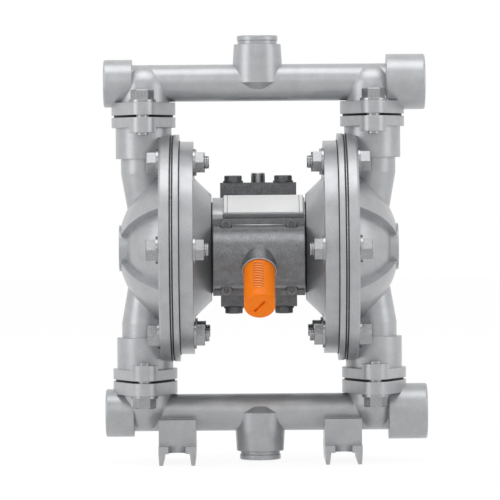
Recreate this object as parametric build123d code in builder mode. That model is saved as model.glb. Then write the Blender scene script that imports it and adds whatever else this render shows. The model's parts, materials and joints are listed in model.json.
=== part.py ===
from build123d import *
import os
from math import cos, radians, sin, sqrt

# An air operated double diaphragm pump. X runs along the shaft, Y away from the front, Z up.
# The origin lies on the floor, under the middle of the pump. All sizes are in millimetres.

# Overall layout, measured from the shaft axis
pipe_rise = 107.0
joint_drop = 21.5
joint_rise = pipe_rise - joint_drop
joint_gap = 1.5
tube_offset = 74.3

# Manifold castings
pipe_r = 12.0
pipe_bore_r = 8.0
neck_r = 17.0
neck_bore_r = 11.0
neck_shoulder_drop = 5.0
flange_r = 20.8
flange_gasket_inset = 1.6
manifold_flange_t = 8.2
ear_r = 8.8
ear_offset = 27.0
blind_boss_r = 15.5
blind_boss_start = 81.6
blind_boss_end = 100.0
port_boss_r = 18.0
port_boss_start = 83.5
port_boss_end = 108.5
boss_edge = 1.4
port_r = 9.3
port_depth = 18.0
centre_boss_r = 16.0
centre_boss_top_r = 15.25
centre_boss_rise = 24.8
centre_boss_top = pipe_rise + centre_boss_rise
plug_head_r = 13.25
plug_head_t = 3.2
plug_depth = 10.0
plug_key = 10.0
plug_key_depth = 7.0
washer_r = 12.75
washer_t = 2.5
end_plug_inset = 1.5
end_plug_length = 12.0
stop_web_t = 3.0
stop_web_height = 6.0

# Feet under the suction manifold
foot_offset = 53.5
foot_width = 24.0
foot_block_depth = 44.0
foot_block_inset = 3.5
foot_block_top = pipe_rise + foot_block_inset
foot_drop = 20.0
foot_block_bottom = pipe_rise + foot_drop
foot_rail_height = 12.0
shaft_height = foot_block_bottom + foot_rail_height
foot_web_t = 4.5
foot_web_depth = 67.0
foot_rail_t = 3.4
foot_rail_draft = 0.5
foot_slot_r = 5.5
foot_slot_centre = 28.0

# Fluid caps
ring_r = 73.5
ring_outer_x = 63.9
ring_inner_x = 57.1
ring_edge = 1.2
dome_centre_x = 44.0
dome_r = 44.0
dome_inner_r = 40.0
saddle_centre_x = 36.5
saddle_r = 54.8
saddle_start = 34.0
hub_r = 15.0
hub_end_x = 90.5
cap_socket_r = 18.2
cap_socket_length = 26.75
cap_tube_r = 14.9
cap_socket_collar = 9.5
cap_taper_end = 20.0
cap_taper_shift = 2.1
cap_taper_r = 12.0
cap_bore_r = 10.5
cap_taper_bore_r = 8.8
socket_bore_r = 13.0
cap_flange_t = 6.6
cap_ear_t = 10.0
chamber_mouth_r = 50.0
cap_inner_neck_x = 62.0
cap_socket_end = joint_rise - joint_gap / 2 - cap_socket_length
cap_taper_start = cap_socket_end - cap_socket_collar
lower_cage_depth = 24.75
upper_seat_depth = 23.25
lower_cage_z = joint_rise - joint_gap / 2 - lower_cage_depth
upper_seat_z = joint_rise - joint_gap / 2 - upper_seat_depth

# Check valves
ball_r = 9.5
seat_height = 6.0
seat_bore_r = 6.2
seat_mouth_r = 8.7
seat_gap = 0.1
seat_fit = 0.05

# Air chambers
air_joint_x = 54.7
air_lip_r = 73.7
air_lip_inner_x = 51.2
air_flange_r = 69.0
air_flange_inner_x = 42.0
cone_big_r = 45.5
cone_small_r = 34.5
air_end_t = 6.4
air_floor_curve = 3.0
air_dish_r = 36.5
air_floor_r = 28.5
air_mouth_run = 6.0
air_mouth_drop = 5.0

# Centre body
body_half_length = 29.8
body_r = 32.4
body_bottom = 30.4
body_face_y = 24.0
cover_seat_top = 19.3
gasket_t = 0.8
air_end_x = body_half_length + gasket_t
air_floor_x = air_end_x + air_end_t
bush_r = 10.0
bush_length = 9.2
seal_length = 4.0
bush_end_x = body_half_length - bush_length
seal_end_x = bush_end_x - seal_length
mid_bore_r = 8.5
pad_height = 32.1
pad_tilt = 30.0
gallery_y = 16.0
gallery_z = 5.0
gallery_x = 5.0
gallery_r = 3.0
exhaust_z = -19.0
exhaust_r = 4.0
pocket_width = 26.0
pocket_height = 24.0
pocket_depth = 8.0
pocket_drop = 6.0

# Name plate
plate_length = 50.8
plate_width = 21.8
plate_shift = 3.0
plate_t = 0.9
plate_margin = 1.0
plate_corner_r = 1.0

# Exhaust cover and silencer
cover_end_gap = 0.6
cover_half_length = body_half_length - cover_end_gap
cover_top = 18.8
cover_flange_t = 4.0
bulge_r = 20.65
bulge_z = -5.75
cover_wall = 3.6
cover_screw_x = 21.0
cover_screw_top = 15.2
cover_screw_low = -26.8
cover_screw_r = 2.0
cover_screw_depth = 6.0
cover_screw_head_r = 3.5
cover_screw_head_t = 4.0
cover_screw_key = 3.0
screw_end_gap = 0.5
screw_hole_gap = 0.2
screw_seat_gap = 0.4
silencer_tilt = 39.0
rim_y = -50.0
rim_z = -14.2
silencer_boss_r = 11.4
silencer_length = 34.2
silencer_r = 10.2
silencer_tip_r = 9.85
silencer_thread_r = 8.6
silencer_thread_length = 9.0
silencer_bore_r = 6.8
end_slot_width = 1.6
end_slot_depth = 1.5
end_slot_length = 10.5
end_slot_turn = 52.0
silencer_end_t = 4.0
silencer_edge = 0.6
silencer_boss_length = 18.0
silencer_hole_depth = 20.0

# Valve block behind the body
block_half_width = 25.0
block_depth = 32.0
block_top = 34.0
block_bottom = -31.4
cap_t = 8.0
sleeve_r = 9.5
sleeve_port_r = 1.6
spool_r = 6.5
spool_groove_r = 4.65
spool_length = 46.0
spool_land = 5.0
spool_end_gap = 0.3
spool_waist_margin = 2.2
spool_ring_r = 0.88
inlet_boss_r = 11.0
inlet_boss_length = 7.5
inlet_r = 5.72
inlet_depth = 12.0
cap_bolt_x = 16.5
cap_bolt_y = 11.0
cap_bolt_depth = 12.0
block_screw_x = 20.5
block_screw_z = 12.0
block_screw_depth = 6.5
block_screw_head_t = 5.0

# Reset button
button_r = 4.6
button_head_top = 48.4
button_head_bottom = 41.0
button_well_floor = 35.4
button_stem_r = 2.0
button_collar_r = 3.4
button_collar_t = 1.6
button_collar_drop = 0.6
button_wire_r = 0.35
button_coil_r = 3.1
button_coils = 3

# Shaft assembly
shaft_r = 7.0
stud_r = 5.0
stud_tip = 1.0
pilot_groove_width = 4.0
pilot_groove_depth = 1.0
plate_r = 24.0
pressure_plate_t = 4.0
shaft_nut_flats = 16.0
shaft_nut_t = 6.5
running_gap = 0.04
diaphragm_r = 73.2
diaphragm_t = 2.4
diaphragm_bulge = 5.0

# Bolting
bolt_circle_r = 64.0
bolts_per_ring = 6
bolt_r = 4.0
bolt_hole_r = 4.3
bolt_flats = 13.0
bolt_washer_r = 8.7
bolt_washer_t = 1.6
bolt_head_t = 8.0
nut_t = 7.0
bolt_tip = 2.8
manifold_bolt_tip = 1.5
end_screw_circle_r = 19.0
end_screw_r = 2.5
end_screw_depth = 12.0
end_screw_head_r = 4.2
end_screw_head_t = 4.0
end_screw_key = 4.0
small_bolt_r = 3.0
small_bolt_flats = 10.0
small_bolt_washer_r = 6.6
small_bolt_washer_t = 1.2
small_bolt_head_t = 4.7

# Frames that follow the shaft axis
shaft_axis = Axis((0, 0, shaft_height), (1, 0, 0))
upright = Plane(origin=(0, 0, shaft_height), x_dir=(1, 0, 0), z_dir=(0, -1, 0))
middle = Plane.XY.offset(shaft_height)
silencer_out = (0, -cos(radians(silencer_tilt)), -sin(radians(silencer_tilt)))
rim_plane = Plane(origin=(0, rim_y, shaft_height + rim_z), x_dir=(1, 0, 0), z_dir=silencer_out)
block_y = body_face_y + gasket_t + block_depth / 2


def level(height):
    # a horizontal plane at this height above the shaft axis
    return Plane.XY.offset(shaft_height + height)


def upright_at(x):
    # an upright plane facing the front, with its origin on the shaft axis at this X
    return Plane(origin=(x, 0, shaft_height), x_dir=(1, 0, 0), z_dir=(0, -1, 0))


def across(x):
    # an upright plane square to the shaft, with Y to its right and Z up
    return Plane(origin=(x, 0, shaft_height), x_dir=(0, 1, 0), z_dir=(1, 0, 0))


def facing(y):
    # an upright plane seen from the front, with X to its right, Z up, and its normal to the front
    return Plane(origin=(0, y, shaft_height), x_dir=(1, 0, 0), z_dir=(0, -1, 0))


def around(angle):
    # a plane through the shaft axis, turned up from the front by this angle
    return Plane(
        origin=(0, 0, shaft_height),
        x_dir=(1, 0, 0),
        z_dir=(0, -sin(radians(angle)), -cos(radians(angle))),
    )


def flange_bolt(length, r, flats, washer_r, washer_t, head_t):
    # head above z = 0 and shank below it
    with BuildPart() as bolt:
        with BuildSketch():
            Circle(washer_r)
        extrude(amount=washer_t)
        with BuildSketch():
            RegularPolygon(flats / 2, 6, major_radius=False)
        extrude(amount=head_t)
        chamfer(bolt.edges().group_by(Axis.Z)[-1], 0.5)
        with BuildSketch():
            Circle(r)
        extrude(amount=-length)
    return bolt.part


def socket_screw(length, r, head_r, head_t, key_flats):
    # round head above z = 0 with a hexagon socket, and shank below it
    with BuildPart() as screw:
        with BuildSketch():
            Circle(head_r)
        extrude(amount=head_t)
        with BuildSketch(Plane.XY.offset(head_t)):
            RegularPolygon(key_flats / 2, 6, major_radius=False)
        extrude(amount=-head_t / 2, mode=Mode.SUBTRACT)
        with BuildSketch():
            Circle(r)
        extrude(amount=-length)
    return screw.part


def lobed_outline():
    # a round flange drawn out to one bolt ear in front and one behind
    with BuildSketch() as outline:
        Circle(flange_r)
        with Locations((0, ear_offset), (0, -ear_offset)):
            Circle(ear_r)
        make_hull()
    return outline.sketch


os.makedirs("parts", exist_ok=True)

tube_places = [(-tube_offset, 0), (tube_offset, 0)]
ear_places = [(x, y) for x in (-tube_offset, tube_offset) for y in (-ear_offset, ear_offset)]
manifold_face = joint_rise + joint_gap / 2
cap_face = joint_rise - joint_gap / 2
manifold_flange_top = manifold_face + manifold_flange_t
outline = lobed_outline()

# Manifold casting, shared by the discharge and the suction side
with BuildPart() as manifold_casting:
    # cross pipe
    with BuildSketch(across(-blind_boss_start)):
        with Locations((0, pipe_rise)):
            Circle(pipe_r)
    extrude(amount=blind_boss_start + port_boss_start)
    # blind boss at the left end
    with BuildSketch(across(-blind_boss_end)):
        with Locations((0, pipe_rise)):
            Circle(blind_boss_r)
    extrude(amount=blind_boss_end - blind_boss_start)
    fillet(manifold_casting.edges().filter_by(GeomType.CIRCLE).group_by(Axis.X)[0], boss_edge)
    # port boss at the right end
    with BuildSketch(across(port_boss_start)):
        with Locations((0, pipe_rise)):
            Circle(port_boss_r)
    extrude(amount=port_boss_end - port_boss_start)
    fillet(manifold_casting.edges().filter_by(GeomType.CIRCLE).group_by(Axis.X)[-1], boss_edge)
    # necks with a rounded elbow at the top
    for side in (-1, 1):
        with BuildSketch(upright_at(side * tube_offset)):
            with BuildLine():
                shoulder_z = pipe_rise - neck_shoulder_drop
                Line((0, manifold_face), (neck_r, manifold_face))
                Line((neck_r, manifold_face), (neck_r, shoulder_z))
                CenterArc((0, shoulder_z), neck_r, 0, 90)
                Line((0, shoulder_z + neck_r), (0, manifold_face))
            make_face()
        revolve(axis=Axis((side * tube_offset, 0, 0), (0, 0, 1)))
    # flanges with ears
    with BuildSketch(level(manifold_face)):
        with Locations(*tube_places):
            add(outline)
    extrude(amount=manifold_flange_t)
    # centre boss with a coned underside
    with BuildSketch(upright):
        Polygon(
            (0, pipe_rise - 4),
            (pipe_r, pipe_rise - 4),
            (centre_boss_r, pipe_rise),
            (centre_boss_r, pipe_rise + pipe_r),
            (centre_boss_top_r, centre_boss_top),
            (0, centre_boss_top),
            align=None,
        )
    revolve(axis=Axis((0, 0, 0), (0, 0, 1)))
    # main bore, with a tapped stretch in both end bosses
    with BuildSketch(across(-blind_boss_end)):
        with Locations((0, pipe_rise)):
            Circle(pipe_bore_r)
    extrude(amount=blind_boss_end + port_boss_end, mode=Mode.SUBTRACT)
    for face_x, depth in ((-blind_boss_end, port_depth), (port_boss_end, -port_depth)):
        with BuildSketch(across(face_x)):
            with Locations((0, pipe_rise)):
                Circle(port_r)
        extrude(amount=depth, mode=Mode.SUBTRACT)
    # neck bores
    with BuildSketch(level(manifold_face)):
        with Locations(*tube_places):
            Circle(neck_bore_r)
    extrude(amount=pipe_rise - manifold_face, mode=Mode.SUBTRACT)
    # centre port bore
    with BuildSketch(level(centre_boss_top)):
        Circle(port_r)
    extrude(amount=pipe_rise + pipe_r - centre_boss_top, mode=Mode.SUBTRACT)
    with BuildSketch(level(centre_boss_top)):
        Circle(pipe_bore_r)
    extrude(amount=pipe_rise - centre_boss_top, mode=Mode.SUBTRACT)
    # bolt holes
    with BuildSketch(level(manifold_face)):
        with Locations(*ear_places):
            Circle(bolt_hole_r)
    extrude(amount=manifold_flange_t, mode=Mode.SUBTRACT)

# Discharge manifold, with a cross in each neck that stops the ball
with BuildPart() as discharge_manifold:
    add(manifold_casting.part)
    with BuildSketch(level(manifold_face)):
        with Locations(*tube_places):
            Rectangle(2 * neck_bore_r + 1, stop_web_t)
            Rectangle(stop_web_t, 2 * neck_bore_r + 1)
    extrude(amount=stop_web_height)
discharge_manifold.part.label = "discharge_manifold"
export_step(discharge_manifold.part, "parts/discharge_manifold.step")

# Suction manifold, the same casting upside down, with two slotted feet
floor_drop = -shaft_height
foot_web_bottom = -foot_block_bottom - foot_web_t
with BuildPart() as feet:
    for side in (-1, 1):
        # block between pipe and web
        with BuildSketch(level(-foot_block_bottom)):
            with Locations((side * foot_offset, 0)):
                Rectangle(foot_width, foot_block_depth)
        extrude(amount=foot_block_bottom - foot_block_top)
        # web with an open slot at each end
        with BuildSketch(level(foot_web_bottom)):
            with Locations((side * foot_offset, 0)):
                Rectangle(foot_width, foot_web_depth)
            slot_run = foot_web_depth / 2 - foot_slot_centre
            for end in (-1, 1):
                with Locations((side * foot_offset, end * foot_slot_centre)):
                    Circle(foot_slot_r, mode=Mode.SUBTRACT)
                with Locations((side * foot_offset, end * (foot_slot_centre + slot_run / 2 + 1))):
                    Rectangle(2 * foot_slot_r, slot_run + 2, mode=Mode.SUBTRACT)
        extrude(amount=foot_web_t)
        # two rails that stand on the floor, narrower at the sole
        with BuildSketch(facing(-foot_web_depth / 2)):
            for edge in (-1, 1):
                rail_x = side * foot_offset + edge * foot_width / 2
                Polygon(
                    (rail_x, -foot_block_bottom - 1),
                    (rail_x - edge * foot_rail_t, -foot_block_bottom - 1),
                    (rail_x - edge * (foot_rail_t + foot_rail_draft), foot_web_bottom),
                    (rail_x - edge * (foot_rail_t - foot_rail_draft), floor_drop),
                    (rail_x - edge * foot_rail_draft, floor_drop),
                    (rail_x, foot_web_bottom),
                    align=None,
                )
        extrude(amount=-foot_web_depth)
    # the blocks end inside the wall of the pipe
    with BuildSketch(across(-foot_offset - foot_width)):
        with Locations((0, -pipe_rise)):
            Circle((pipe_r + pipe_bore_r) / 2)
    extrude(amount=2 * (foot_offset + foot_width), mode=Mode.SUBTRACT)
with BuildPart() as suction_manifold:
    mirror(manifold_casting.part, about=middle)
    add(feet.part)
suction_manifold.part.label = "suction_manifold"
export_step(suction_manifold.part, "parts/suction_manifold.step")

# Left fluid cap
with BuildPart() as left_fluid_cap:
    # clamping ring
    with BuildSketch(across(-ring_outer_x)):
        Circle(ring_r)
    extrude(amount=ring_outer_x - ring_inner_x)
    chamfer(left_fluid_cap.edges().group_by(Axis.X)[0], ring_edge)
    # dome
    with BuildSketch(upright):
        with Locations((-dome_centre_x, 0)):
            Circle(dome_r)
        with Locations((-ring_inner_x - dome_r, dome_r)):
            Rectangle(2 * dome_r, 2 * dome_r, mode=Mode.INTERSECT)
    revolve(axis=shaft_axis)
    # raised saddles above and below, which carry the tubes
    for start in (saddle_start, 180 + saddle_start):
        with BuildSketch(around(start)):
            with Locations((-saddle_centre_x, 0)):
                Circle(saddle_r)
            with Locations(((-ring_inner_x - hub_end_x) / 2, saddle_r)):
                Rectangle(hub_end_x - ring_inner_x, 2 * saddle_r, mode=Mode.INTERSECT)
        revolve(axis=shaft_axis.reverse(), revolution_arc=180 - 2 * saddle_start)
    # hub at the pole
    with BuildSketch(across(-hub_end_x)):
        Circle(hub_r)
    extrude(amount=hub_end_x - dome_centre_x - dome_r / 2)
    # tubes, sockets and flanges
    for side in (-1, 1):
        with BuildSketch(level(side * cap_taper_end)):
            with Locations((-tube_offset + cap_taper_shift, 0)):
                Circle(cap_taper_r)
        with BuildSketch(level(side * cap_taper_start)):
            with Locations((-tube_offset, 0)):
                Circle(cap_tube_r)
        loft()
        with BuildSketch(level(side * cap_taper_start)):
            with Locations((-tube_offset, 0)):
                Circle(cap_tube_r)
        extrude(amount=side * (cap_socket_end - cap_taper_start))
        with BuildSketch(level(side * cap_socket_end)):
            with Locations((-tube_offset, 0)):
                Circle(cap_socket_r)
        extrude(amount=side * (cap_face - cap_socket_end))
        with BuildSketch(level(side * cap_face)):
            with Locations((-tube_offset, 0)):
                add(outline)
        extrude(amount=-side * cap_flange_t)
        with BuildSketch(level(side * cap_face)):
            with Locations((-tube_offset, ear_offset), (-tube_offset, -ear_offset)):
                Circle(ear_r)
        extrude(amount=-side * cap_ear_t)
    # flat joint face for the diaphragm
    with BuildSketch(across(-ring_inner_x)):
        Circle(ring_r)
    extrude(amount=ring_inner_x, mode=Mode.SUBTRACT)
    # fluid chamber
    with BuildSketch(upright):
        inner_neck_r = sqrt(dome_inner_r**2 - (cap_inner_neck_x - dome_centre_x) ** 2)
        with BuildLine():
            Line((-dome_centre_x - dome_inner_r, 0), (-ring_inner_x, 0))
            Line((-ring_inner_x, 0), (-ring_inner_x, chamber_mouth_r))
            Line((-ring_inner_x, chamber_mouth_r), (-cap_inner_neck_x, inner_neck_r))
            RadiusArc((-cap_inner_neck_x, inner_neck_r), (-dome_centre_x - dome_inner_r, 0), -dome_inner_r)
        make_face()
    revolve(axis=shaft_axis, mode=Mode.SUBTRACT)
    # passages up and down to the sockets
    for side, socket_floor in ((-1, lower_cage_z), (1, upper_seat_z)):
        with BuildSketch(level(side * cap_taper_end)):
            with Locations((-tube_offset + cap_taper_shift, 0)):
                Circle(cap_taper_bore_r)
        with BuildSketch(level(side * cap_taper_start)):
            with Locations((-tube_offset, 0)):
                Circle(cap_bore_r)
        loft(mode=Mode.SUBTRACT)
        with BuildSketch(level(side * cap_taper_start)):
            with Locations((-tube_offset, 0)):
                Circle(cap_bore_r)
        extrude(amount=side * (socket_floor - cap_taper_start), mode=Mode.SUBTRACT)
        with BuildSketch(level(side * socket_floor)):
            with Locations((-tube_offset, 0)):
                Circle(socket_bore_r)
        extrude(amount=side * (cap_face - socket_floor), mode=Mode.SUBTRACT)
    # cross that stops the lower ball
    with BuildSketch(level(-lower_cage_z)):
        with Locations((-tube_offset, 0)):
            Rectangle(2 * cap_bore_r + 1, stop_web_t)
            Rectangle(stop_web_t, 2 * cap_bore_r + 1)
    extrude(amount=stop_web_height)
    # holes for the ring bolts and the flange bolts
    with BuildSketch(across(-ring_outer_x)):
        with PolarLocations(bolt_circle_r, bolts_per_ring):
            Circle(bolt_hole_r)
    extrude(amount=ring_outer_x - ring_inner_x, mode=Mode.SUBTRACT)
    for side in (-1, 1):
        with BuildSketch(level(side * cap_face)):
            with Locations((-tube_offset, ear_offset), (-tube_offset, -ear_offset)):
                Circle(bolt_r)
        extrude(amount=-side * cap_ear_t, mode=Mode.SUBTRACT)
left_fluid_cap.part.label = "left_fluid_cap"
export_step(left_fluid_cap.part, "parts/left_fluid_cap.step")

with BuildPart() as right_fluid_cap:
    mirror(left_fluid_cap.part, about=Plane.YZ)
right_fluid_cap.part.label = "right_fluid_cap"
export_step(right_fluid_cap.part, "parts/right_fluid_cap.step")

# Left air chamber
with BuildPart() as left_air_chamber:
    with BuildSketch(upright):
        Polygon(
            (-air_joint_x, 0),
            (-air_joint_x, air_lip_r),
            (-air_lip_inner_x, air_lip_r),
            (-air_lip_inner_x, air_flange_r),
            (-air_flange_inner_x, air_flange_r),
            (-air_flange_inner_x, cone_big_r),
            (-air_end_x, cone_small_r),
            (-air_end_x, 0),
            align=None,
        )
    revolve(axis=shaft_axis)
    # dished inside
    with BuildSketch(upright):
        Polygon(
            (-air_joint_x, 0),
            (-air_joint_x, chamber_mouth_r),
            (-air_joint_x + air_mouth_run, chamber_mouth_r - air_mouth_drop),
            (-air_floor_x - air_floor_curve, air_dish_r),
            (-air_floor_x, air_floor_r),
            (-air_floor_x, 0),
            align=None,
        )
    revolve(axis=shaft_axis, mode=Mode.SUBTRACT)
    # holes for the ring bolts, the shaft, the end screws and the air gallery
    with BuildSketch(across(-air_joint_x)):
        with PolarLocations(bolt_circle_r, bolts_per_ring):
            Circle(bolt_hole_r)
    extrude(amount=air_joint_x - air_flange_inner_x, mode=Mode.SUBTRACT)
    with BuildSketch(across(-air_floor_x)):
        Circle(mid_bore_r)
        with PolarLocations(end_screw_circle_r, 4, start_angle=45):
            Circle(end_screw_r + running_gap)
        with Locations((gallery_y, gallery_z)):
            Circle(gallery_r)
    extrude(amount=air_floor_x - air_end_x, mode=Mode.SUBTRACT)
left_air_chamber.part.label = "left_air_chamber"
export_step(left_air_chamber.part, "parts/left_air_chamber.step")

# Right air chamber, whose gallery lies below the shaft
with BuildPart() as right_air_chamber:
    add(left_air_chamber.part.rotate(Axis((0, 0, shaft_height), (0, 1, 0)), 180))
right_air_chamber.part.label = "right_air_chamber"
export_step(right_air_chamber.part, "parts/right_air_chamber.step")

# Centre body
with BuildPart() as centre_body:
    with BuildSketch(across(-body_half_length)):
        Circle(body_r)
        with Locations((0, (cover_seat_top - body_bottom) / 2)):
            Rectangle(2 * body_face_y, cover_seat_top + body_bottom)
        with Locations((0, (body_r - body_bottom) / 2)):
            Rectangle(2 * body_face_y, body_r + body_bottom, mode=Mode.INTERSECT)
    extrude(amount=2 * body_half_length)
    # tilted pad for the name plate
    pad_plane = Plane(
        origin=(0, 0, shaft_height),
        x_dir=(1, 0, 0),
        z_dir=(0, -sin(radians(pad_tilt)), cos(radians(pad_tilt))),
    )
    with BuildSketch(pad_plane.offset(pad_height)):
        with Locations((plate_shift, 0)):
            Rectangle(plate_length + plate_margin, plate_width + plate_margin)
    extrude(amount=-pad_height / 2)
    with BuildSketch(pad_plane.offset(pad_height)):
        with Locations((plate_shift, 0)):
            Rectangle(plate_length + plate_margin, plate_width + plate_margin)
    extrude(amount=plate_t, mode=Mode.SUBTRACT)
    # seat of the exhaust cover in front
    with BuildSketch(facing(-body_face_y)):
        with Locations((0, (cover_seat_top - body_bottom - 10) / 2)):
            Rectangle(2 * body_half_length, cover_seat_top + body_bottom + 10)
    extrude(amount=20, mode=Mode.SUBTRACT)
    # shaft bore, wider at both ends for bush and seal
    with BuildSketch(across(-body_half_length)):
        Circle(mid_bore_r)
    extrude(amount=2 * body_half_length, mode=Mode.SUBTRACT)
    for side in (-1, 1):
        with BuildSketch(across(side * seal_end_x)):
            Circle(bush_r)
        extrude(amount=side * (body_half_length - seal_end_x), mode=Mode.SUBTRACT)
        # end screw holes
        with BuildSketch(across(side * (body_half_length - end_screw_depth))):
            with PolarLocations(end_screw_circle_r, 4, start_angle=45):
                Circle(end_screw_r)
        extrude(amount=side * end_screw_depth, mode=Mode.SUBTRACT)
        # air gallery from the valve to this side's chamber
        with BuildSketch(across(side * (gallery_x - gallery_r))):
            with Locations((gallery_y, -side * gallery_z)):
                Circle(gallery_r)
        extrude(amount=side * (body_half_length - gallery_x + gallery_r), mode=Mode.SUBTRACT)
        with BuildSketch(facing(body_face_y)):
            with Locations((side * gallery_x, -side * gallery_z)):
                Circle(gallery_r)
        extrude(amount=body_face_y - gallery_y, mode=Mode.SUBTRACT)
    # exhaust passage below the shaft, opening into a pocket under the cover
    with BuildSketch(facing(body_face_y)):
        with Locations((0, exhaust_z)):
            Circle(exhaust_r)
    extrude(amount=2 * body_face_y, mode=Mode.SUBTRACT)
    with BuildSketch(facing(-body_face_y)):
        with Locations((0, bulge_z - pocket_drop)):
            Rectangle(pocket_width, pocket_height)
    extrude(amount=-pocket_depth, mode=Mode.SUBTRACT)
    # screw holes for cover and valve block
    with BuildSketch(facing(-body_face_y)):
        for z in (cover_screw_low, cover_screw_top):
            with Locations((-cover_screw_x, z), (cover_screw_x, z)):
                Circle(cover_screw_r)
    extrude(amount=-cover_screw_depth - screw_end_gap, mode=Mode.SUBTRACT)
    with BuildSketch(facing(body_face_y)):
        with GridLocations(2 * block_screw_x, 2 * block_screw_z, 2, 2):
            Circle(end_screw_r)
    extrude(amount=block_screw_depth + screw_end_gap, mode=Mode.SUBTRACT)
centre_body.part.label = "centre_body"
export_step(centre_body.part, "parts/centre_body.step")

# Gaskets between air chambers and body
with BuildPart() as body_gaskets:
    for side in (-1, 1):
        with BuildSketch(across(side * body_half_length)):
            Circle(body_bottom - 1)
            with Locations((0, 0)):
                Rectangle(2 * (body_face_y - 0.5), 2 * body_r, mode=Mode.INTERSECT)
            Circle(mid_bore_r, mode=Mode.SUBTRACT)
            with PolarLocations(end_screw_circle_r, 4, start_angle=45):
                Circle(end_screw_r + screw_hole_gap, mode=Mode.SUBTRACT)
            with Locations((gallery_y, -side * gallery_z)):
                Circle(gallery_r, mode=Mode.SUBTRACT)
        extrude(amount=side * (air_end_x - body_half_length))
body_gaskets.part.label = "body_gaskets"
export_step(body_gaskets.part, "parts/body_gaskets.step")

# Screws that hold the air chambers to the body
end_screw = socket_screw(
    air_floor_x - body_half_length + end_screw_depth - 1,
    end_screw_r,
    end_screw_head_r,
    end_screw_head_t,
    end_screw_key,
)
with BuildPart() as end_screws:
    for side in (-1, 1):
        for turn in (45, 135, 225, 315):
            place = Plane(
                origin=(
                    side * air_floor_x,
                    end_screw_circle_r * cos(radians(turn)),
                    shaft_height + end_screw_circle_r * sin(radians(turn)),
                ),
                z_dir=(side, 0, 0),
            )
            with Locations(place):
                add(end_screw)
end_screws.part.label = "end_screws"
export_step(end_screws.part, "parts/end_screws.step")

# Name plate, bare
with BuildPart() as name_plate:
    with BuildSketch(pad_plane.offset(pad_height)):
        with Locations((plate_shift, 0)):
            RectangleRounded(plate_length, plate_width, plate_corner_r)
    extrude(amount=plate_t)
name_plate.part.label = "name_plate"
export_step(name_plate.part, "parts/name_plate.step")

# Gasket under the exhaust cover
cover_height = cover_top + body_bottom
cover_middle = (cover_top - body_bottom) / 2
cover_screws_at = [
    (x, z) for x in (-cover_screw_x, cover_screw_x) for z in (cover_screw_low, cover_screw_top)
]
with BuildPart() as cover_gasket:
    with BuildSketch(facing(-body_face_y)):
        with Locations((0, cover_middle)):
            Rectangle(2 * cover_half_length - 1, cover_height - 1)
        with Locations((0, bulge_z)):
            Rectangle(2 * cover_half_length - 10, 2 * bulge_r - 10, mode=Mode.SUBTRACT)
        with Locations(*cover_screws_at):
            Circle(cover_screw_r + screw_hole_gap, mode=Mode.SUBTRACT)
    extrude(amount=gasket_t)
cover_gasket.part.label = "cover_gasket"
export_step(cover_gasket.part, "parts/cover_gasket.step")

# Exhaust cover with its bulge and the slanted silencer boss
cover_back = -body_face_y - gasket_t
bulge_centre_y = cover_back - cover_flange_t
with BuildPart() as exhaust_cover:
    with BuildSketch(facing(cover_back)):
        with Locations((0, cover_middle)):
            Rectangle(2 * cover_half_length, cover_height)
    extrude(amount=cover_flange_t)
    with BuildSketch(across(-cover_half_length)):
        with Locations((bulge_centre_y, bulge_z)):
            Circle(bulge_r)
        with Locations((bulge_centre_y - bulge_r, bulge_z)):
            Rectangle(2 * bulge_r, 2 * bulge_r, mode=Mode.INTERSECT)
    extrude(amount=2 * cover_half_length)
    with BuildSketch(rim_plane):
        Circle(silencer_boss_r)
    extrude(amount=-silencer_boss_length)
    # nothing of the boss reaches back through the cover
    with BuildSketch(facing(cover_back)):
        Rectangle(4 * bulge_r, 4 * bulge_r)
    extrude(amount=-silencer_boss_length, mode=Mode.SUBTRACT)
    # hollow inside
    with BuildSketch(across(-cover_half_length + cover_wall)):
        with Locations((bulge_centre_y, bulge_z)):
            Circle(bulge_r - cover_wall)
        with Locations((bulge_centre_y - bulge_r, bulge_z)):
            Rectangle(2 * bulge_r, 2 * bulge_r, mode=Mode.INTERSECT)
        with Locations(((bulge_centre_y + cover_back) / 2, bulge_z)):
            Rectangle(cover_flange_t, 2 * (bulge_r - cover_wall))
    extrude(amount=2 * (cover_half_length - cover_wall), mode=Mode.SUBTRACT)
    with BuildSketch(rim_plane):
        Circle(silencer_thread_r)
    extrude(amount=-silencer_hole_depth, mode=Mode.SUBTRACT)
    # screw holes
    with BuildSketch(facing(cover_back)):
        with Locations(*cover_screws_at):
            Circle(cover_screw_r + screw_hole_gap)
    extrude(amount=cover_flange_t, mode=Mode.SUBTRACT)
    # flats cut into the bulge so that the screw heads sit down
    with BuildSketch(facing(bulge_centre_y)):
        with Locations(*cover_screws_at):
            Circle(cover_screw_head_r + screw_seat_gap)
    extrude(amount=2 * cover_screw_head_t, mode=Mode.SUBTRACT)
exhaust_cover.part.label = "exhaust_cover"
export_step(exhaust_cover.part, "parts/exhaust_cover.step")

# Cover screws
cover_screw = socket_screw(
    cover_flange_t + gasket_t + cover_screw_depth,
    cover_screw_r,
    cover_screw_head_r,
    cover_screw_head_t,
    cover_screw_key,
)
with BuildPart() as cover_screws:
    for x, z in cover_screws_at:
        with Locations(Plane(origin=(x, bulge_centre_y, shaft_height + z), z_dir=(0, -1, 0))):
            add(cover_screw)
cover_screws.part.label = "cover_screws"
export_step(cover_screws.part, "parts/cover_screws.step")

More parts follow.
